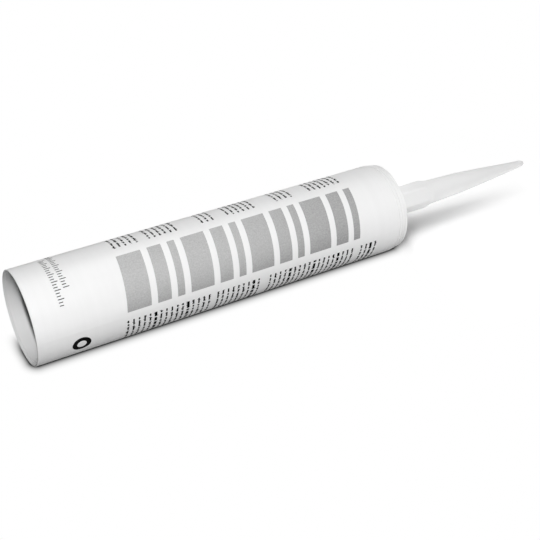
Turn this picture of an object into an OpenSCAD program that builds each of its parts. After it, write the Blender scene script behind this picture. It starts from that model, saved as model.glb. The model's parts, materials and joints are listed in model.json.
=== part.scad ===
// Caulk cartridge: a moulded barrel with a closed head and a spout, a plunger
// that slides in its open tail, the sealant between them, and a nozzle that
// screws onto the spout. It stands on its tail: the origin is the centre of
// the tail rim, and +Z runs along the barrel to the nozzle's tip.
// All sizes are in millimetres.

/* [Barrel] */
// Outside diameter of the barrel
barrel_d = 50; // [47:0.5:56]
// Length from the tail rim to the rim of the head
barrel_len = 216; // [180:1:240]
// Thickness of the barrel's wall
barrel_wall = 1.5; // [1.3:0.1:2.2]
// Radius of the rounded outer edge of the tail rim
rim_round = 0.3; // [0.1:0.05:0.6]
// Width of the bevel that leads the plunger into the bore
lead_in_w = 0.8; // [0.3:0.1:1.1]
// Depth of that bevel along the barrel
lead_in_h = 1.2; // [0.4:0.1:4]

/* [Head] */
// Thickness of the plate that closes the barrel
plate_t = 2; // [1.2:0.1:3]
// Depth of the pockets in the plate's outer side
pocket_h = 2; // [1:0.1:4]
// Width of the flat ring round the pockets
head_ring_w = 3; // [1.5:0.1:6]
// Diameter of the boss in the middle, which the nozzle seats on
boss_d = 19; // [18:0.5:26]
// Number of ribs from the boss to the ring
rib_count = 8; // [4:1:16]
// Thickness of each rib
rib_t = 1.2; // [0.8:0.1:2]
// How far the ribs lie below the ring and the boss
rib_drop = 0.3; // [0.1:0.1:0.6]
// Number of bands that step the head in
band_count = 3; // [1:1:4]
// Height of one band
band_h = 2; // [1.5:0.1:3]
// How far each band steps in from the one below it
band_step = 0.33; // [0.1:0.01:0.5]
// Depth of the groove at the foot of each band
groove_d = 0.25; // [0.1:0.05:0.4]
// Width of that groove
groove_w = 0.5; // [0.3:0.05:0.8]
// Radius of the rounded edge below each groove
band_round = 0.3; // [0.1:0.05:0.4]
// Radius of the rounded rim of the head
head_round = 0.6; // [0.2:0.1:1]

/* [Spout] */
// Height of the spout above the head
spout_h = 20; // [12:0.5:26]
// Diameter of its plain root
spout_root_d = 12.2; // [11.6:0.1:12.6]
// Height of the plain root
spout_root_h = 2.5; // [1.5:0.1:5]
// Diameter of the spout under its screw thread
spout_core_d = 11; // [10:0.1:11.4]
// Radius of the hollow curve at the root's foot
spout_fillet = 0.6; // [0.2:0.1:1]
// Radius of the rounded edge at the spout's end
spout_round = 1; // [0.3:0.1:2]
// Diameter of the bore
spout_bore_d = 8; // [5:0.1:8.8]
// Thickness of the moulded membrane that closes the bore
membrane_t = 0.8; // [0.4:0.1:1.5]

/* [Nozzle] */
// Length from the seat to the closed tip
nozzle_len = 102.3; // [75:0.1:130]
// Width across the flats of the hexagonal collar
collar_flats = 14.6; // [14.3:0.1:15.6]
// Diameter that the collar's corners are rounded to
collar_corner_d = 16.5; // [15.8:0.1:16.8]
// Length of the collar beyond the end of the spout
collar_over = 4.6; // [2:0.1:8]
// Length over which the collar runs out into the round shank
collar_runout = 7; // [3:0.1:12]
// Diameter of the shank next to the collar
shank_d = 13.9; // [12.6:0.1:14.2]
// Diameter of the shank where the cone starts
shank_end_d = 12.3; // [10:0.1:13.6]
// Length of the shank
shank_len = 20.4; // [8:0.1:28]
// How far the cone bulges beyond a straight taper
cone_bow = 0.15; // [0:0.05:0.5]
// Diameter where the rounded tip starts
tip_d = 3.9; // [3:0.1:6]
// Length of the rounded tip
tip_len = 3.6; // [2.2:0.1:6]
// Thickness of the closed tip
tip_wall = 1.6; // [0.8:0.1:2]
// Thickness of the nozzle's wall
nozzle_wall = 1.1; // [0.8:0.1:1.3]
// Height of the bevelled foot of the collar
foot_bevel = 0.4; // [0.1:0.1:0.8]
// Clearance round the spout in the nozzle's socket
socket_clear = 0.2; // [0.1:0.05:0.4]
// Clearance beyond the end of the spout
socket_over = 4; // [0.5:0.1:6]
// Gap between the nozzle and the boss when it is screwed home
seat_gap = 0.3; // [0.1:0.05:0.8]

/* [Plunger] */
// Length of the plunger
plunger_len = 21; // [16:0.5:30]
// Depth of the plunger's open rim inside the tail
plunger_inset = 12; // [5:0.5:30]
// Running clearance between the sealing lips and the bore
lip_clear = 0.05; // [0.02:0.01:0.1]
// Height of each sealing lip
lip_h = 2.4; // [1.5:0.1:4]
// Bevel on the edge of each lip
lip_bevel = 0.5; // [0.2:0.1:1]
// Clearance between the bore and the waist between the lips
waist_clear = 0.8; // [0.3:0.1:1.5]
// Thickness of the plunger's skirt
skirt_wall = 1.4; // [1:0.1:2]
// Thickness of the plunger's front
front_t = 1.8; // [1.2:0.1:3]
// Diameter of the hub ring inside the front
hub_d = 13; // [9:0.5:20]
// Thickness of the hub ring
hub_wall = 1.4; // [1:0.1:2]
// Depth of the hub ring
hub_h = 6; // [3:0.5:10]
// Number of ribs from the hub ring to the skirt
gusset_count = 6; // [3:1:12]
// Thickness of those ribs
gusset_t = 1.2; // [0.8:0.1:2]
// Depth of those ribs
gusset_h = 5; // [2:0.5:10]

/* [Sealant] */
// Gap left round the sealant
fill_gap = 0.1; // [0.05:0.05:0.3]

/* [Hidden] */
$fn = 96;

// Steps in which an arc is drawn
arc_steps = 6;
// Steps in which a long curve is drawn
curve_steps = 10;
// How far a rib is sunk into what it joins
rib_sink = 0.4;
// How far a cut starts outside what it cuts
cut_over = 0.5;

barrel_r = barrel_d / 2;
bore_r = barrel_r - barrel_wall;
first_band_z = barrel_len - band_count * band_h;
head_rim_r = band_r(band_count) - head_round;
ring_in_r = head_rim_r - head_ring_w;
pocket_z = barrel_len - pocket_h;
plate_z = pocket_z - plate_t;

spout_z = barrel_len + spout_h;
spout_root_r = spout_root_d / 2;
spout_core_r = spout_core_d / 2;
spout_bore_r = spout_bore_d / 2;
membrane_z = spout_z - membrane_t;

seat_z = barrel_len + seat_gap;
socket_r = spout_root_r + socket_clear;
socket_z = spout_z + socket_over;
collar_z = spout_z + collar_over;
collar_r = collar_corner_d / 2;
shank_z = collar_z + collar_runout;
shank_r = shank_d / 2;
cone_z = shank_z + shank_len;
cone_r = shank_end_d / 2;
tip_r = tip_d / 2;
nozzle_end_z = seat_z + nozzle_len;
tip_z = nozzle_end_z - tip_len;

plunger_front_z = plunger_inset + plunger_len;
lip_r = bore_r - lip_clear;
waist_r = bore_r - waist_clear;
lip_slope = waist_clear - lip_clear;
skirt_in_r = waist_r - skirt_wall;
floor_z = plunger_front_z - front_t;
hub_r = hub_d / 2;

// Radius of the barrel where i bands have stepped it in
function band_r(i) = barrel_r - i * band_step;

// Points of an arc round [x, z] from angle a0 to angle a1
function arc(x, z, r, a0, a1) =
    [for (i = [0:arc_steps])
        let (a = a0 + (a1 - a0) * i / arc_steps)
        [x + r * cos(a), z + r * sin(a)]];

// Outline of one band's foot, from the rounded edge below it across the groove
function band_foot(i) =
    let (z = first_band_z + i * band_h)
    let (below = z - groove_w / 2)
    let (groove_r = band_r(i + 1) - groove_d)
    concat(
        arc(band_r(i) - band_round, below - band_round, band_round, 0, 90),
        [[groove_r, below],
         [groove_r, z + groove_w / 2],
         [band_r(i + 1), z + groove_w / 2]]);

// Radius of the nozzle where the collar runs out: 0 at the collar, 1 at the shank
function runout_r(t) = shank_r + (collar_r - shank_r) * (1 + cos(180 * t)) / 2;

// Radius of the cone, from its start at 0 to the rounded tip at 1
function taper_r(t) = cone_r + (tip_r - cone_r) * t + 4 * cone_bow * t * (1 - t);

// Rounded end of a cone: a half ellipse of radius r that is h long
function round_end(r, h) =
    [for (i = [0:arc_steps])
        let (a = 90 * i / arc_steps)
        [r * cos(a), tip_z + h * sin(a)]];

function barrel_outline() = concat(
    [[bore_r, lead_in_h],
     [bore_r + lead_in_w, 0]],
    arc(barrel_r - rim_round, rim_round, rim_round, -90, 0),
    [for (i = [0:band_count - 1]) each band_foot(i)],
    arc(head_rim_r, barrel_len - head_round, head_round, 0, 90),
    [[ring_in_r, barrel_len],
     [ring_in_r, pocket_z],
     [boss_d / 2, pocket_z],
     [boss_d / 2, barrel_len]],
    arc(spout_root_r + spout_fillet, barrel_len + spout_fillet, spout_fillet, -90, -180),
    [[spout_root_r, barrel_len + spout_root_h],
     [spout_core_r, barrel_len + spout_root_h]],
    arc(spout_core_r - spout_round, spout_z - spout_round, spout_round, 0, 90),
    [[0, spout_z],
     [0, membrane_z],
     [spout_bore_r, membrane_z],
     [spout_bore_r, plate_z],
     [bore_r, plate_z]]);

function nozzle_outline() = concat(
    [[0, seat_z],
     [collar_r - foot_bevel, seat_z],
     [collar_r, seat_z + foot_bevel]],
    [for (i = [0:curve_steps])
        [runout_r(i / curve_steps), collar_z + collar_runout * i / curve_steps]],
    [for (i = [0:curve_steps - 1])
        [taper_r(i / curve_steps), cone_z + (tip_z - cone_z) * i / curve_steps]],
    round_end(tip_r, tip_len));

// The cavity follows the outside at the wall's thickness beyond the socket
function nozzle_cavity() = concat(
    [[0, seat_z - cut_over],
     [socket_r + spout_fillet + cut_over, seat_z - cut_over],
     [socket_r, seat_z + spout_fillet],
     [socket_r, socket_z],
     [shank_r - nozzle_wall, shank_z]],
    [for (i = [0:curve_steps - 1])
        [taper_r(i / curve_steps) - nozzle_wall,
         cone_z + (tip_z - cone_z) * i / curve_steps]],
    round_end(tip_r - nozzle_wall, tip_len - tip_wall));

function plunger_outline() = [
    [skirt_in_r, plunger_inset],
    [lip_r - lip_bevel, plunger_inset],
    [lip_r, plunger_inset + lip_bevel],
    [lip_r, plunger_inset + lip_h],
    [waist_r, plunger_inset + lip_h + lip_slope],
    [waist_r, plunger_front_z - lip_h - lip_slope],
    [lip_r, plunger_front_z - lip_h],
    [lip_r, plunger_front_z - lip_bevel],
    [lip_r - lip_bevel, plunger_front_z],
    [0, plunger_front_z],
    [0, floor_z],
    [hub_r - hub_wall, floor_z],
    [hub_r - hub_wall, floor_z - hub_h],
    [hub_r, floor_z - hub_h],
    [hub_r, floor_z],
    [skirt_in_r, floor_z]];

// Ribs that stand on edge round the axis, from radius r0 to r1 and z0 to z1
module spokes(count, thick, r0, r1, z0, z1) {
    for (i = [0:count - 1])
        rotate(i * 360 / count)
            translate([r0, -thick / 2, z0])
                cube([r1 - r0, thick, z1 - z0]);
}

// One moulding: the wall, the stepped head with its pockets, and the spout
module barrel() {
    color("white") {
        rotate_extrude() polygon(barrel_outline());
        spokes(rib_count, rib_t, boss_d / 2 - rib_sink, ring_in_r + rib_sink,
            pocket_z - rib_sink, barrel_len - rib_drop);
    }
}

// One moulding: a cup, open to the tail, with a lip at each end of its skirt
module plunger() {
    color("gainsboro") {
        rotate_extrude() polygon(plunger_outline());
        spokes(gusset_count, gusset_t, hub_r - rib_sink, skirt_in_r + rib_sink,
            floor_z - gusset_h, floor_z + rib_sink);
    }
}

// What the barrel holds, from the plunger's front to the spout's membrane
module sealant() {
    color("lightgray")
        rotate_extrude()
            polygon([
                [0, plunger_front_z + fill_gap],
                [bore_r - fill_gap, plunger_front_z + fill_gap],
                [bore_r - fill_gap, plate_z - fill_gap],
                [spout_bore_r - fill_gap, plate_z - fill_gap],
                [spout_bore_r - fill_gap, membrane_z - fill_gap],
                [0, membrane_z - fill_gap]]);
}

// One moulding: a hexagonal collar that runs out into a long hollow cone.
// The hexagon is wider than the shank, so it cuts flats on the collar alone.
module nozzle() {
    color("#e8e8e4")
        difference() {
            intersection() {
                rotate_extrude() polygon(nozzle_outline());
                translate([0, 0, seat_z])
                    cylinder(d = collar_flats / cos(30), h = nozzle_len + cut_over, $fn = 6);
            }
            rotate_extrude() polygon(nozzle_cavity());
        }
}

barrel();
plunger();
sealant();
nozzle();
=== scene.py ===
"""Looks of the caulk cartridge: its plastics, its generic print, the spout's thread and the fill.

The row frame stands the cartridge on its tail, with +Z along the barrel. In the photograph it lies
down, so the floor of the picture is the upright plane that touches the barrel on its +Y side.
"""
import itertools
import json
import math
import random

import bmesh
import bpy
from mathutils import Matrix, Vector

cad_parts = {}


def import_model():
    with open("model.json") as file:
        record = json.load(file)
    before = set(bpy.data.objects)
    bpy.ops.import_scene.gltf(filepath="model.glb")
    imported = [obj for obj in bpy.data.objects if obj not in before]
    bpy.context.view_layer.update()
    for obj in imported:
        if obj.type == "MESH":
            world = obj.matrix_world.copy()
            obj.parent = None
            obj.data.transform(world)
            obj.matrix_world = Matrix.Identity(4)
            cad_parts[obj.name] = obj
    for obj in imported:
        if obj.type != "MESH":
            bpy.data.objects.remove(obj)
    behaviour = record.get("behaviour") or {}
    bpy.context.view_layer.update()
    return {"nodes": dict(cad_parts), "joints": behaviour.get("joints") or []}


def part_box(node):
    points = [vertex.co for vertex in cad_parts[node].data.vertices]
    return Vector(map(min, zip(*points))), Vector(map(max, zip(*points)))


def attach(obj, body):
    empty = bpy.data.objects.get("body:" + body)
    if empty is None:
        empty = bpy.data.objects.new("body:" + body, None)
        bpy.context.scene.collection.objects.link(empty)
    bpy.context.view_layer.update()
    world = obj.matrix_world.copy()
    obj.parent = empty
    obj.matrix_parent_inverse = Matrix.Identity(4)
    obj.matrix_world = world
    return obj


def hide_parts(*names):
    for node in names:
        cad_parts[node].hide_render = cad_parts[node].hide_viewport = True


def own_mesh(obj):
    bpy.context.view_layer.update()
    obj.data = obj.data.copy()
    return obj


MM = 0.001
WHITE = (1, 1, 1, 1)

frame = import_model()

# Places that come from the frame, in metres
BARREL_LOW, BARREL_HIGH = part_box("barrel")
NOZZLE_LOW, NOZZLE_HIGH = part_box("nozzle")
SEALANT_LOW, SEALANT_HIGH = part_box("sealant")
BARREL_R = BARREL_HIGH.x
SPOUT_TOP = BARREL_HIGH.z


# Nodes


class Nodes:
    """Builds the node tree of a new material or world, whose output node is of the given kind."""

    def __init__(self, owner, output="ShaderNodeOutputMaterial"):
        self.owner = owner
        owner.use_nodes = True
        self.tree = owner.node_tree
        self.tree.nodes.clear()
        self.output = self.tree.nodes.new(output)

    def add(self, kind, inputs=None, **settings):
        """Adds a node; inputs holds plain values, or sockets to link."""
        node = self.tree.nodes.new(kind)
        for key, value in settings.items():
            setattr(node, key, value)
        for key, value in (inputs or {}).items():
            if isinstance(value, bpy.types.NodeSocket):
                self.tree.links.new(value, node.inputs[key])
            else:
                node.inputs[key].default_value = value
        return node

    def maths(self, operation, a, b=0.0, c=0.0):
        return self.add("ShaderNodeMath", {0: a, 1: b, 2: c}, operation=operation).outputs[0]

    def share(self, value, low, high, to_low=0.0, to_high=1.0, **settings):
        """A straight ramp of value, from to_low at low to to_high at high, level beyond both."""
        inputs = {"Value": value, "From Min": low, "From Max": high, "To Min": to_low, "To Max": to_high}
        return self.add("ShaderNodeMapRange", inputs, **settings).outputs["Result"]

    def smooth(self, value, low, high, to_low=0.0, to_high=1.0):
        """The same as share, in a smooth step."""
        return self.share(value, low, high, to_low, to_high, interpolation_type="SMOOTHSTEP")

    def length(self, a, b):
        """How long the vector (a, b) is."""
        return self.maths("SQRT", self.maths("MULTIPLY_ADD", a, a, self.maths("MULTIPLY", b, b)))

    def axes(self, vector):
        """The X, Y and Z of a vector."""
        return self.add("ShaderNodeSeparateXYZ", {0: vector}).outputs

    def place(self, scale=(1, 1, 1)):
        """The object's own coordinates, in metres, times scale."""
        where = self.add("ShaderNodeTexCoord").outputs["Object"]
        return self.add("ShaderNodeMapping", {"Vector": where, "Scale": scale}).outputs["Vector"]

    def geometry(self, output):
        return self.add("ShaderNodeNewGeometry").outputs[output]

    def noise(self, scale, vector, detail):
        inputs = {"Vector": vector, "Scale": scale, "Detail": detail}
        return self.add("ShaderNodeTexNoise", inputs).outputs["Fac"]

    def grey(self, value):
        """A neutral colour from a brightness."""
        return self.add("ShaderNodeCombineColor", {"Red": value, "Green": value, "Blue": value}).outputs[0]

    def bump(self, height, distance):
        return self.add("ShaderNodeBump", {"Height": height, "Distance": distance}).outputs["Normal"]

    def finish(self, shader):
        self.tree.links.new(shader, self.output.inputs["Surface"])
        return self.owner

    def plastic(self, tone, rough, normal, specular=0.5, metallic=0.0, waxy=None):
        """Ends the tree in a grey plastic of the given brightness. waxy holds the share of the light
        that sinks in, and how deep it goes."""
        inputs = {"Base Color": self.grey(tone), "Roughness": rough, "Normal": normal,
                  "Specular IOR Level": specular, "Metallic": metallic}
        if waxy:
            inputs["Subsurface Weight"], inputs["Subsurface Scale"] = waxy
            inputs["Subsurface Radius"] = (1.0, 1.0, 1.0)
        return self.finish(self.add("ShaderNodeBsdfPrincipled", inputs).outputs[0])


# Materials. Noise lies mostly between the two values of MIDDLE.

MIDDLE = (0.3, 0.7)

# Painted shade in the bore beyond the open mouth: how far out it reaches, where it starts and ends, and its
# tone
BORE_SHADE_R = 23.8 * MM
BORE_SHADE_FROM = (7.0 * MM, 9.0 * MM)
BORE_SHADE_END = 212.2 * MM
BORE_SHADE_TONE = 0.38

# The nozzle's tone, at its seat and at its tip
NOZZLE_TONE = (0.79, 0.67)


def white_polyethylene():
    """Satin white plastic with the faint rings that the extrusion leaves round the barrel. Beyond the
    open mouth the bore is darker, by painted shade."""
    n = Nodes(bpy.data.materials.new("barrel_polyethylene"))
    where = n.axes(n.place())
    radius = n.length(where["X"], where["Y"])
    inside = n.maths("MULTIPLY", n.maths("LESS_THAN", radius, BORE_SHADE_R),
                     n.maths("LESS_THAN", where["Z"], BORE_SHADE_END))
    # Painted shade: the bore darkens from a few millimetres beyond the open mouth all the way to the head
    bore_shade = n.maths("MULTIPLY", inside, n.smooth(where["Z"], *BORE_SHADE_FROM))
    rings = n.noise(260, n.place((0.004, 0.004, 1)), 3.0)
    clouds = n.noise(35, n.place(), 3.0)
    grain = n.noise(2600, n.place(), 2.0)
    tone = n.maths("MULTIPLY_ADD", rings, 0.055, 0.8075)
    tone = n.maths("MULTIPLY_ADD", clouds, 0.016, tone)
    tone = n.maths("MULTIPLY", tone, n.maths("MULTIPLY_ADD", bore_shade, BORE_SHADE_TONE - 1, 1.0))
    height = n.maths("MULTIPLY_ADD", grain, 0.25, rings)
    return n.plastic(tone, n.smooth(clouds, *MIDDLE, 0.36, 0.44), n.bump(height, 0.02 * MM),
                     specular=0.35, waxy=(0.12, 1.5 * MM))


def milky_polyethylene():
    """Unpigmented plastic that lets light in, with softer shading than the barrel's."""
    n = Nodes(bpy.data.materials.new("nozzle_polyethylene"))
    clouds = n.noise(60, n.place((1, 1, 0.3)), 3.0)
    grain = n.noise(1800, n.place(), 2.0)
    tone = n.share(n.axes(n.place())["Z"], NOZZLE_LOW.z, NOZZLE_HIGH.z, *NOZZLE_TONE)
    tone = n.maths("MULTIPLY_ADD", clouds, 0.04, tone)
    return n.plastic(tone, n.smooth(clouds, *MIDDLE, 0.30, 0.40), n.bump(grain, 0.01 * MM),
                     specular=0.4, waxy=(0.3, 2.0 * MM))


def plunger_polyethylene():
    """Natural moulded plastic, duller than the barrel."""
    n = Nodes(bpy.data.materials.new("plunger_polyethylene"))
    clouds = n.noise(80, n.place(), 3.0)
    grain = n.noise(1500, n.place(), 3.0)
    tone = n.maths("MULTIPLY_ADD", clouds, 0.05, 0.74)
    return n.plastic(tone, n.smooth(clouds, *MIDDLE, 0.45, 0.55), n.bump(grain, 0.03 * MM),
                     waxy=(0.2, 2.0 * MM))


def wet_paste():
    """The sealant: smooth, dense and slightly glossy."""
    n = Nodes(bpy.data.materials.new("sealant_paste"))
    folds = n.noise(120, n.place((1, 1, 0.4)), 4.0)
    tone = n.maths("MULTIPLY_ADD", folds, 0.04, 0.74)
    return n.plastic(tone, n.smooth(folds, *MIDDLE, 0.22, 0.34), n.bump(folds, 0.4 * MM),
                     waxy=(0.3, 2.0 * MM))


# Where the ink's tone changes along the barrel, and where and how far it darkens at the top and at
# the foot of the photograph's view, which are -Y and +Y
INK_FADE = (115 * MM, 175 * MM)
INK_TOP_SHADE = (-25 * MM, -18 * MM)
INK_TOP_SHADE_TONE = 0.86
INK_FOOT_SHADE = (-14 * MM, 0 * MM)
INK_FOOT_SHADE_TONE = 0.78


def ink(name, tone, grain_depth, rough, specular, metallic=0.0):
    """Printed ink: a film with the fine grain of its screen, darker by painted shade towards the top and
    the foot of the printed side. tone holds its brightness towards the tail and towards the head, and
    metallic the share of silver flake in it."""
    n = Nodes(bpy.data.materials.new(name))
    grain = n.noise(1500, n.place(), 1.0)
    clouds = n.noise(90, n.place(), 2.0)
    where = n.axes(n.place())
    value = n.share(where["Z"], *INK_FADE, *tone)
    # Painted shade: the ink is darker towards the top and the foot of the printed side, which leaves its
    # middle brighter like a lamp's highlight
    value = n.maths("MULTIPLY", value, n.smooth(where["Y"], *INK_TOP_SHADE, INK_TOP_SHADE_TONE, 1.0))
    value = n.maths("MULTIPLY", value, n.smooth(where["Y"], *INK_FOOT_SHADE, 1.0, INK_FOOT_SHADE_TONE))
    value = n.maths("MULTIPLY_ADD", grain, grain_depth, value)
    value = n.maths("MULTIPLY_ADD", clouds, grain_depth / 6, value)
    return n.plastic(value, n.smooth(clouds, *MIDDLE, rough, rough + 0.08), n.bump(grain, 0.006 * MM),
                     specular, metallic)


# Meshes

# Edges over this angle stay crisp
SHARP_DEG = 35


def new_piece(name, mesh_bm, body, material):
    """A smooth-shaded mesh object with crisp edges, riding on a body."""
    bmesh.ops.recalc_face_normals(mesh_bm, faces=mesh_bm.faces)
    for face in mesh_bm.faces:
        face.smooth = True
    for edge in mesh_bm.edges:
        if len(edge.link_faces) == 2:
            edge.smooth = edge.calc_face_angle(0) < math.radians(SHARP_DEG)
    piece = linked(name, mesh_bm, material)
    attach(piece, body)
    return piece


def linked(name, mesh_bm, material):
    """An object in the scene, with the given mesh and material."""
    mesh = bpy.data.meshes.new(name)
    mesh_bm.to_mesh(mesh)
    mesh_bm.free()
    mesh.materials.append(material)
    made = bpy.data.objects.new(name, mesh)
    bpy.context.scene.collection.objects.link(made)
    return made


def polar(radius, degrees, z):
    """A point round the barrel's axis."""
    a = math.radians(degrees)
    return Vector((radius * math.cos(a), radius * math.sin(a), z))


def lathe(bm, outline, segments, radius_at=lambda r, degrees: r):
    """Turns a closed outline of (radius, z) points round the axis. Points on the axis are shared.
    radius_at may cut a point's radius down at some angles."""
    rings = []
    for r, z in outline:
        if r < 1e-7:
            rings.append([bm.verts.new((0, 0, z))] * segments)
            continue
        angles = [360 * i / segments for i in range(segments)]
        rings.append([bm.verts.new(polar(radius_at(r, a), a, z)) for a in angles])
    for low, high in zip(rings, rings[1:] + rings[:1]):
        for i in range(segments):
            j = (i + 1) % segments
            corners = []
            for v in (low[i], low[j], high[j], high[i]):
                if v not in corners:
                    corners.append(v)
            if len(corners) > 2:
                bm.faces.new(corners)


def join_rows(bm, rows):
    """Faces between rows of points that run round a closed section."""
    for a, b in zip(rows, rows[1:]):
        for k in range(len(a)):
            n = (k + 1) % len(a)
            bm.faces.new((a[k], a[n], b[n], b[k]))


def curve(count, point):
    """count + 1 points of a curve whose parameter runs from 0 to 1."""
    return [point(i / count) for i in range(count + 1)]


def mix(a, b, t):
    return a + (b - a) * t


# The nozzle

COLLAR_FLATS = 14.6 * MM
COLLAR_END = 24.3 * MM
# The last row of the straight collar lies this far below the runout
COLLAR_ROW = 0.5 * MM
RUNOUT = 7.0 * MM
SHANK_R = 6.95 * MM
SHANK_END_R = 6.15 * MM
SHANK_LEN = 20.4 * MM
CONE_BOW = 0.15 * MM
TIP_R = 1.95 * MM
TIP_LEN = 3.6 * MM
TIP_WALL = 1.6 * MM
NOZZLE_WALL = 1.1 * MM
SOCKET_R = 6.3 * MM
SOCKET_OVER = 4.0 * MM
SOCKET_BEVEL = 0.6 * MM
FOOT_BEVEL = 0.4 * MM
CORNER_SOFTNESS = 0.12 * MM
NOZZLE_SEGMENTS = 240


def hexagon_cut(r, degrees):
    """The radius r, cut back to the collar's flats, with the corners moulded slightly soft."""
    flat = COLLAR_FLATS / 2 / math.cos(math.radians((degrees + 60) % 60 - 30))
    gap = (flat - r) / CORNER_SOFTNESS
    if abs(gap) > 4:
        return min(r, flat)
    return r - CORNER_SOFTNESS * math.log(1 + math.exp(-gap))


def nozzle():
    """The hexagonal collar runs out into a round shank, a slightly bulging cone and a round tip."""
    seat, end = NOZZLE_LOW.z, NOZZLE_HIGH.z
    collar_r = NOZZLE_HIGH.x
    collar_z = seat + COLLAR_END
    shank_z = collar_z + RUNOUT
    cone_z = shank_z + SHANK_LEN
    tip_z = end - TIP_LEN
    socket_z = SPOUT_TOP + SOCKET_OVER

    def runout(t):
        return mix(SHANK_R, collar_r, (1 + math.cos(math.pi * t)) / 2), collar_z + RUNOUT * t

    def taper(t):
        r = mix(SHANK_END_R, TIP_R, t) + 4 * CONE_BOW * t * (1 - t)
        return r, mix(cone_z, tip_z, t)

    def cap(r, height):
        return lambda t: (r * math.cos(math.pi / 2 * t), tip_z + height * math.sin(math.pi / 2 * t))

    outside = [(collar_r - FOOT_BEVEL, seat)]
    outside += curve(16, lambda t: (collar_r, mix(seat + FOOT_BEVEL, collar_z - COLLAR_ROW, t)))
    outside += curve(48, runout)
    outside += curve(20, lambda t: (mix(SHANK_R, SHANK_END_R, t), mix(shank_z, cone_z, t)))[1:-1]
    outside += curve(40, taper)[:-1]
    outside += curve(14, cap(TIP_R, TIP_LEN))
    inside = [(SOCKET_R + SOCKET_BEVEL, seat), (SOCKET_R, seat + SOCKET_BEVEL), (SOCKET_R, socket_z)]
    inside += [(SHANK_R - NOZZLE_WALL, shank_z)]
    inside += [(r - NOZZLE_WALL, z) for r, z in curve(12, taper)[:-1]]
    inside += curve(6, cap(TIP_R - NOZZLE_WALL, TIP_LEN - TIP_WALL))
    bm = bmesh.new()
    lathe(bm, outside + inside[::-1], NOZZLE_SEGMENTS, hexagon_cut)
    piece = new_piece("nozzle_shell", bm, "nozzle", milky_polyethylene())
    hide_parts("nozzle")
    return piece


# The spout's thread

THREAD_CORE_R = 5.5 * MM
THREAD_CREST_R = 6.05 * MM
THREAD_PITCH = 3.0 * MM
THREAD_FOOT = 1.5 * MM
THREAD_CREST = 0.5 * MM
THREAD_START = 219.9 * MM
THREAD_END = 233.6 * MM
# Degrees of one step round the spout, and of the turn over which the ridge rises and sinks
THREAD_STEP = 7.5
THREAD_RISE = 60
# How deep in the spout's core the ridge's foot lies, and its crest at both ends
THREAD_SUNK = 0.2 * MM
THREAD_END_SUNK = 0.05 * MM


def spout_thread():
    """A right-hand helical ridge that rises from the spout and sinks into it again at both ends."""
    bm = bmesh.new()
    turns = (THREAD_END - THREAD_START) / THREAD_PITCH
    count = int(turns * 360 / THREAD_STEP)
    foot_r = THREAD_CORE_R - THREAD_SUNK
    rows = []
    for i in range(count + 1):
        degrees = i * THREAD_STEP
        z = THREAD_START + THREAD_PITCH * degrees / 360
        rise = min(1.0, i * THREAD_STEP / THREAD_RISE, (count - i) * THREAD_STEP / THREAD_RISE)
        crest_r = mix(THREAD_CORE_R - THREAD_END_SUNK, THREAD_CREST_R, rise)
        section = ((foot_r, -THREAD_FOOT / 2), (crest_r, -THREAD_CREST / 2),
                   (crest_r, THREAD_CREST / 2), (foot_r, THREAD_FOOT / 2))
        rows.append([bm.verts.new(polar(r, degrees, z + dz)) for r, dz in section])
    join_rows(bm, rows)
    bm.faces.new(rows[0])
    bm.faces.new(rows[-1])
    plastic = frame["nodes"]["barrel"].data.materials[0]
    return new_piece("spout_thread", bm, "barrel", plastic)


# The fill

SEALANT_BEVEL = 0.5 * MM
SEALANT_CORE_R = 3.9 * MM


def sealant():
    """The paste in the barrel, which the plunger presses towards the head, and the core in the spout."""
    paste = wet_paste()
    fill_r = SEALANT_HIGH.x
    slide = frame["joints"][0]
    plate_z = slide["deforming_nodes"][0]["fixed_end_z_m"]
    bm = bmesh.new()
    outline = [(0.0, SEALANT_LOW.z), (fill_r - SEALANT_BEVEL, SEALANT_LOW.z)]
    outline += [(fill_r, SEALANT_LOW.z + SEALANT_BEVEL), (fill_r, plate_z - SEALANT_BEVEL)]
    outline += [(fill_r - SEALANT_BEVEL, plate_z), (0.0, plate_z)]
    lathe(bm, outline, 96)
    fill = new_piece("sealant_fill", bm, "barrel", paste)
    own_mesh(fill)
    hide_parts("sealant")
    bm = bmesh.new()
    outline = [(0.0, plate_z), (SEALANT_CORE_R, plate_z), (SEALANT_CORE_R, SEALANT_HIGH.z - SEALANT_BEVEL)]
    outline += [(SEALANT_CORE_R - SEALANT_BEVEL, SEALANT_HIGH.z), (0.0, SEALANT_HIGH.z)]
    lathe(bm, outline, 48)
    new_piece("sealant_core", bm, "barrel", paste)


# The print: plain bars, broken dashes, ticks and a ring in place of words and signs. Its sizes along
# the barrel are in millimetres, and those round it in degrees from the middle of the printed side.

# Azimuth round the barrel, from +X towards +Y, of that middle
PRINT_MIDDLE = -36.9
INK_OUT = BARREL_R + 0.02 * MM
INK_IN = BARREL_R - 0.12 * MM


def film(bm, start, end, low, high, step=2.0):
    """A closed film of ink between the angles start and end. low and high give its edges along the
    barrel at a share 0 to 1 of that turn, and step is the finest turn between two rows of points."""
    count = max(1, math.ceil(abs(end - start) / step))
    rows = []
    for i in range(count + 1):
        t = i / count
        a = PRINT_MIDDLE + mix(start, end, t)
        z0, z1 = low(t) * MM, high(t) * MM
        rows.append([bm.verts.new(polar(r, a, z)) for r, z in
                     ((INK_OUT, z0), (INK_OUT, z1), (INK_IN, z1), (INK_IN, z0))])
    join_rows(bm, rows)
    bm.faces.new(rows[0])
    bm.faces.new(rows[-1][::-1])


BAR_FIELD = (47.0, 188.0)
BAR_TURN = (-37.0, 31.5)
BAR_SLANT = 3.0
BAR_WIDTHS = (13.0, 7.5, 4.0)
BAR_GAP = 3.5


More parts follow.
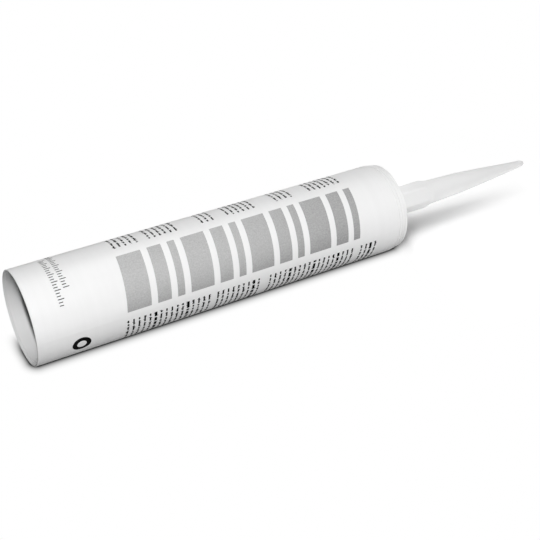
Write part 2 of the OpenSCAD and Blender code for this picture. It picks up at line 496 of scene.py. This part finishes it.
def bars():
    """Bold slanted bars that step down in width, group after group."""
    bm = bmesh.new()
    z = BAR_FIELD[0]
    for width in itertools.cycle(BAR_WIDTHS):
        if z + width + BAR_SLANT > BAR_FIELD[1]:
            break
        film(bm, *BAR_TURN, lambda t: z + BAR_SLANT * (1 - t), lambda t: z + width + BAR_SLANT * (1 - t))
        z += width + BAR_GAP
    grey = ink("grey_ink", tone=(0.30, 0.23), grain_depth=0.20, rough=0.50, specular=0.45, metallic=0.2)
    return new_piece("print_bars", bm, "barrel", grey)


# Blocks of dashes: both ends along the barrel, both ends round it, how ragged their outer edge is,
# and every how many lines one is bold, or 0
BLOCKS = (
    (47, 92, 43, 84, 4, 6),
    (97, 121, 43, 84, 4, 8),
    (128, 179, 43, 84, 4, 5),
    (185, 194, 43, 84, 4, 3),
    (52, 64, -84, -50, 6, 0),
    (71, 86, -84, -50, 6, 0),
    (101, 107, -84, -50, 6, 0),
    (116, 131, -84, -50, 6, 0),
    (145, 154, -84, -50, 6, 0),
    (166, 184, -84, -50, 6, 0),
)
LINE_PITCH = 3.0
LINE_WIDTH = 0.85
BOLD = 1.7
WORD_TURN = (2.5, 11.0)
WORD_GAP = 1.9
WORD_STEP = 3.0
TICK_CHANCE = 0.35
TICK_RISE = 0.45
TICK_TURN = 0.7
# A tick starts at this share of the dash's half width
TICK_ROOT = 0.9

# Rows of ticks: the place along the barrel, and both ends round it
TICK_ROWS = ((15.0, -72, 2), (19.5, -84, -18))
SCALE_PITCH = 3.6
SCALE_TICK = 0.95
SCALE_HEIGHTS = (3.2, 2.1, 2.1)

# The ring: its middle round the barrel and along it, and its two radii
RING = (57, 22.5, 4.9, 2.5)
RING_SIDES = 48


def line_of_dashes(bm, draw, z, start, end, width):
    """One line of small print: dashes round the barrel, with short ticks on either edge."""
    at = start
    half = width / 2
    while at < end:
        stop = min(end, at + draw.uniform(*WORD_TURN))
        film(bm, at, stop, lambda t: z - half, lambda t: z + half, WORD_STEP)
        tick = at
        while tick + TICK_TURN < stop:
            if draw.random() < TICK_CHANCE:
                side = draw.choice((-1, 1))
                a, b = z + side * half * TICK_ROOT, z + side * (half + TICK_RISE)
                film(bm, tick, tick + TICK_TURN, lambda t: min(a, b), lambda t: max(a, b))
            tick += 2 * TICK_TURN
        at = stop + WORD_GAP


def block(bm, draw, z0, z1, start, end, ragged, bold_every):
    """Lines of dashes side by side, ragged at the edge that lies away from the bars."""
    count = int((z1 - z0) / LINE_PITCH)
    for i in range(count + 1):
        bold = bold_every and i % bold_every == bold_every - 1
        first = start + (draw.uniform(0, ragged) if start < 0 else 0)
        last = end - (draw.uniform(0, ragged) if start > 0 else 0)
        line_of_dashes(bm, draw, z0 + i * LINE_PITCH, first, last, LINE_WIDTH * (BOLD if bold else 1))


def row_of_ticks(bm, z, start, end):
    """Fine ticks round the barrel like those of a scale, a long one before every two short ones."""
    count = int((end - start) / SCALE_PITCH)
    for i in range(count + 1):
        at = start + i * SCALE_PITCH
        height = SCALE_HEIGHTS[i % len(SCALE_HEIGHTS)]
        film(bm, at, at + SCALE_TICK, lambda t: z, lambda t: z + height)


def ring(bm, middle, z, outer, inner):
    """A plain printed ring; it closes on itself."""
    across = curve(4, lambda t: (INK_OUT, mix(inner, outer, t))) + [(INK_IN, outer), (INK_IN, inner)]
    rows = []
    for i in range(RING_SIDES):
        turn = 2 * math.pi * i / RING_SIDES
        row = []
        for r, reach in across:
            a = PRINT_MIDDLE + middle + math.degrees(reach * math.cos(turn) * MM / BARREL_R)
            row.append(bm.verts.new(polar(r, a, (z + reach * math.sin(turn)) * MM)))
        rows.append(row)
    join_rows(bm, rows + rows[:1])


def small_print():
    """Blocks of dashes above and below the bars, two rows of ticks at the tail, and one plain ring."""
    draw = random.Random(7)
    bm = bmesh.new()
    for sizes in BLOCKS:
        block(bm, draw, *sizes)
    for sizes in TICK_ROWS:
        row_of_ticks(bm, *sizes)
    ring(bm, *RING)
    dark = ink("dark_ink", tone=(0.002, 0.002), grain_depth=0.004, rough=0.45, specular=0.03)
    return new_piece("print_small", bm, "barrel", dark)


# The stage

WALL_HALF = 0.9
WALL_MIDDLE_Z = 0.15
TABLE_HALF = 1.5
STAGE_GAP = 0.05 * MM

# The lamps light what is seen of the wall under the nozzle, which is where both of these ramps along
# the barrel are up and the one away from it, along X, isn't down
WALL_LIT_FROM = (0.218, 0.238)
WALL_LIT_TO = (0.24, 0.36)
WALL_LIT_ASIDE = (0.04, 0.10)
WALL_SEEN = 1.4
# The tone that other surfaces see, under the barrel and under the nozzle, and where it changes. It is
# painted light: dim under the barrel, which keeps its underside in shade, and brighter than white under
# the nozzle, which throws more light on the nozzle's underside.
WALL_BOUNCE = (0.3, 1.3)
WALL_BOUNCE_AT = (0.215, 0.26)

# The painted shadow at the contact is full up to this front edge, which has a round corner, and fades over
# the reach. The rates stretch its fade beyond the tail and beyond the head, where the front edge
# slants back.
CONTACT_FRONT = 9.5 * MM
CONTACT_CORNER = 5.0 * MM
CONTACT_REACH = 9.2 * MM
CONTACT_CURVE = 2.6
CONTACT_DEPTH = 0.97
CONTACT_BACK = (-25.0 * MM, -3.0 * MM)
CONTACT_TAIL = 3.8 * MM
CONTACT_TAIL_RATE = 1.31
CONTACT_HEAD = 210.0 * MM
CONTACT_HEAD_RATE = 0.29
CONTACT_SLANT_FROM = 218.6 * MM
CONTACT_SLANT = 0.355

# The painted shadow round the foot of the standing cartridge
FOOT_REACH = 14.0 * MM
FOOT_DEPTH = 0.8


def contact(n, where):
    """How white the wall is near the barrel that touches it: a painted contact shadow, made from the
    position alone.
    """
    slant = n.maths("MAXIMUM", n.maths("SUBTRACT", where["Z"], CONTACT_SLANT_FROM))
    front = n.maths("MULTIPLY_ADD", slant, CONTACT_SLANT, where["X"])
    front = n.maths("MAXIMUM", n.maths("SUBTRACT", front, CONTACT_FRONT - CONTACT_CORNER))
    tail = n.maths("MULTIPLY", n.maths("SUBTRACT", CONTACT_TAIL, where["Z"]), CONTACT_TAIL_RATE)
    head = n.maths("MULTIPLY", n.maths("SUBTRACT", where["Z"], CONTACT_HEAD), CONTACT_HEAD_RATE)
    ends = n.maths("MAXIMUM", n.maths("MAXIMUM", tail, head))
    away = n.length(front, ends)
    dark = n.share(away, CONTACT_CORNER, CONTACT_CORNER + CONTACT_REACH, 1.0, 0.0)
    dark = n.maths("POWER", dark, CONTACT_CURVE)
    dark = n.maths("MULTIPLY", dark, n.smooth(where["X"], *CONTACT_BACK))
    return n.maths("SUBTRACT", 1.0, n.maths("MULTIPLY", dark, CONTACT_DEPTH))


def white_wall():
    """The floor that the cartridge lies on in the photograph, seen from its front alone. Under the
    barrel it is white with a soft dark line at the contact, and under the nozzle it takes the lamps'
    shadow. Lamps behind it light what the camera sees, but not what only other surfaces see."""
    n = Nodes(bpy.data.materials.new("stage_white_wall"))
    path = n.add("ShaderNodeLightPath").outputs
    where = n.axes(n.geometry("Position"))
    # Painted shadow: the soft dark line at the contact dims the wall's glow and tone by position, without a
    # lamp
    white = contact(n, where)
    near = n.maths("MULTIPLY", n.smooth(n.maths("ABSOLUTE", where["X"]), *WALL_LIT_ASIDE, 1.0, 0.0),
                   n.smooth(where["Z"], *WALL_LIT_TO, 1.0, 0.0))
    lit = n.maths("MULTIPLY", n.smooth(where["Z"], *WALL_LIT_FROM), near)
    glow = n.add("ShaderNodeEmission", {"Color": WHITE, "Strength": white}).outputs[0]
    shaded = n.add("ShaderNodeBsdfDiffuse", {"Color": n.grey(n.maths("MULTIPLY", white, WALL_SEEN))})
    seen = n.add("ShaderNodeMixShader", {0: lit, 1: glow, 2: shaded.outputs[0]}).outputs[0]
    # Painted light for other surfaces: a dim floor under the barrel, and one brighter than white under the
    # nozzle
    tone = n.grey(n.smooth(where["Z"], *WALL_BOUNCE_AT, *WALL_BOUNCE))
    bounce = n.add("ShaderNodeBsdfDiffuse", {"Color": tone}).outputs[0]
    shown = n.add("ShaderNodeMixShader", {0: path["Is Camera Ray"], 1: bounce, 2: seen}).outputs[0]
    clear = n.add("ShaderNodeBsdfTransparent").outputs[0]
    first = n.maths("LESS_THAN", path["Ray Depth"], 1.5)
    passes = n.maths("MAXIMUM", n.geometry("Backfacing"), n.maths("MULTIPLY", first, path["Is Shadow Ray"]))
    return n.finish(n.add("ShaderNodeMixShader", {0: passes, 1: shown, 2: clear}).outputs[0])


def white_table():
    """What the standing cartridge stands on in the other views: white, with a painted shadow close to its
    foot.
    """
    n = Nodes(bpy.data.materials.new("stage_white_table"))
    path = n.add("ShaderNodeLightPath").outputs
    where = n.axes(n.geometry("Position"))
    # Painted shadow: the glow dims near the foot, by the distance from the barrel's axis
    dark = n.share(n.length(where["X"], where["Y"]), BARREL_R, BARREL_R + FOOT_REACH, 1.0, 0.0)
    dark = n.maths("POWER", dark, CONTACT_CURVE)
    white = n.maths("SUBTRACT", 1.0, n.maths("MULTIPLY", dark, FOOT_DEPTH))
    glow = n.add("ShaderNodeEmission", {"Color": WHITE, "Strength": white}).outputs[0]
    clear = n.add("ShaderNodeBsdfTransparent").outputs[0]
    shown = n.maths("MULTIPLY", path["Is Camera Ray"], n.maths("SUBTRACT", 1.0, n.geometry("Backfacing")))
    return n.finish(n.add("ShaderNodeMixShader", {0: shown, 1: clear, 2: glow}).outputs[0])


def plane(name, centre, normal, half_size, material):
    """A square stage plane that faces along normal."""
    bm = bmesh.new()
    bmesh.ops.create_grid(bm, x_segments=1, y_segments=1, size=half_size)
    turn = Vector(normal).to_track_quat("Z", "Y").to_matrix().to_4x4()
    bm.transform(Matrix.Translation(centre) @ turn)
    piece = linked(name, bm, material)
    return piece


def stage():
    """The wall and the table; it returns the wall."""
    wall_at = Vector((0, BARREL_HIGH.y + STAGE_GAP, WALL_MIDDLE_Z))
    wall = plane("stage_wall", wall_at, (0, -1, 0), WALL_HALF, white_wall())
    table = plane("stage_table", Vector((0, 0, -STAGE_GAP)), (0, 0, 1), TABLE_HALF, white_table())
    table.visible_shadow = False
    table.visible_diffuse = False
    table.visible_glossy = False
    return wall


# Light and camera

AMBIENT = 0.02
LIT_POINT = Vector((0, 0, 0.12))
LAMP_AWAY = 1.2
# Sizes of a narrow lamp and of a soft one, in metres
STRIP = (0.48, 0.03)
SOFT = (0.65, 0.65)
# Lamps further than this from +X, in degrees, are kept out of the gloss
GLOSS_WITHIN = 120

CAMERA_AT = Vector((437.91, -328.66, -106.24)) * MM
CAMERA_TARGET = Vector((0, 19.23, 141.52)) * MM
CAMERA_LENS = 73.61
CAMERA_SENSOR = 36.0
UP_IN_PHOTO = Vector((0, -1, 0))


def world():
    """White behind the object and in its gloss, and a low even light on it."""
    made = bpy.data.worlds.new("studio")
    bpy.context.scene.world = made
    n = Nodes(made, "ShaderNodeOutputWorld")
    path = n.add("ShaderNodeLightPath").outputs
    seen = n.maths("MAXIMUM", path["Is Glossy Ray"], path["Is Transmission Ray"])
    seen = n.maths("MAXIMUM", path["Is Camera Ray"], seen)
    level = n.share(seen, 0.0, 1.0, AMBIENT, 1.0)
    n.finish(n.add("ShaderNodeBackground", {"Color": WHITE, "Strength": level}).outputs[0])


def softbox(name, azimuth, tilt, size, level, pieces, alone):
    """A lamp aimed at the barrel. azimuth goes round the barrel's axis and tilt towards the nozzle, in
    degrees; level is the brightness that it gives to a white surface facing it. It lights the given
    pieces alone if alone is true, and otherwise everything but those pieces."""
    a, t = math.radians(azimuth), math.radians(tilt)
    direction = Vector((math.cos(a) * math.cos(t), math.sin(a) * math.cos(t), math.sin(t)))
    lamp = bpy.data.lights.new(name, "AREA")
    lamp.shape = "RECTANGLE"
    lamp.size, lamp.size_y = size
    lamp.energy = level * math.pi ** 2 * LAMP_AWAY ** 2
    holder = bpy.data.objects.new(name, lamp)
    bpy.context.scene.collection.objects.link(holder)
    holder.location = LIT_POINT + direction * LAMP_AWAY
    holder.rotation_mode = "QUATERNION"
    holder.rotation_quaternion = direction.to_track_quat("Z", "Y")
    receivers = bpy.data.collections.new(name + "_lights")
    for i, piece in enumerate(pieces):
        receivers.objects.link(piece)
        receivers.collection_objects[i].light_linking.link_state = "INCLUDE" if alone else "EXCLUDE"
    holder.light_linking.receiver_collection = receivers
    holder.visible_glossy = abs(azimuth) < GLOSS_WITHIN


def camera():
    """The photograph's camera, level with the floor that the cartridge lies on."""
    data = bpy.data.cameras.new("camera")
    data.lens = CAMERA_LENS
    data.sensor_width = CAMERA_SENSOR
    data.clip_start = 0.01
    data.clip_end = 20
    holder = bpy.data.objects.new("camera", data)
    bpy.context.scene.collection.objects.link(holder)
    back = (CAMERA_AT - CAMERA_TARGET).normalized()
    right = UP_IN_PHOTO.cross(back).normalized()
    up = back.cross(right)
    turn = Matrix((right, up, back)).transposed().to_4x4()
    holder.matrix_world = Matrix.Translation(CAMERA_AT) @ turn
    bpy.context.scene.camera = holder


def paint(node, material):
    """Gives a CAD node its finish."""
    shown = frame["nodes"][node]
    shown.data.materials.clear()
    shown.data.materials.append(material)


# The scene

paint("barrel", white_polyethylene())
paint("plunger", plunger_polyethylene())
shell = nozzle()
spout_thread()
sealant()
bars()
small_print()
wall = stage()
world()

# Lamps: azimuth, tilt, size in metres, level, the pieces named, and whether it lights those alone.
# The nozzle has soft lamps of its own, because glare from the strips turns its flats plain white.
softbox("wall_key", -69.3, -16, (0.48, 0.12), 0.42, [wall], True)
softbox("wall_top", -85, 5, SOFT, 0.15, [wall], True)
softbox("wall_sky", -90, 0, (2.4, 2.4), 0.66, [wall], True)
softbox("key", -46, -16, STRIP, 0.51, [wall, shell], False)
softbox("side", -60, -16, STRIP, 0.20, [wall, shell], False)
softbox("top", -103, 12, SOFT, 0.36, [wall], False)
softbox("fill", 8, 4, (0.65, 0.55), 0.30, [wall], False)
softbox("back", 135, 12, SOFT, 0.60, [wall, shell], False)
softbox("back_top", 158, 12, SOFT, 0.40, [wall, shell], False)
softbox("nozzle_key", -50, -16, SOFT, 0.70, [shell], True)
softbox("nozzle_top", -120, 0, SOFT, 0.22, [shell], True)
softbox("nozzle_foot", 45, 0, SOFT, 0.10, [shell], True)
softbox("nozzle_back", 150, 0, SOFT, 0.25, [shell], True)
camera()

bpy.context.scene.view_settings.view_transform = "Standard"
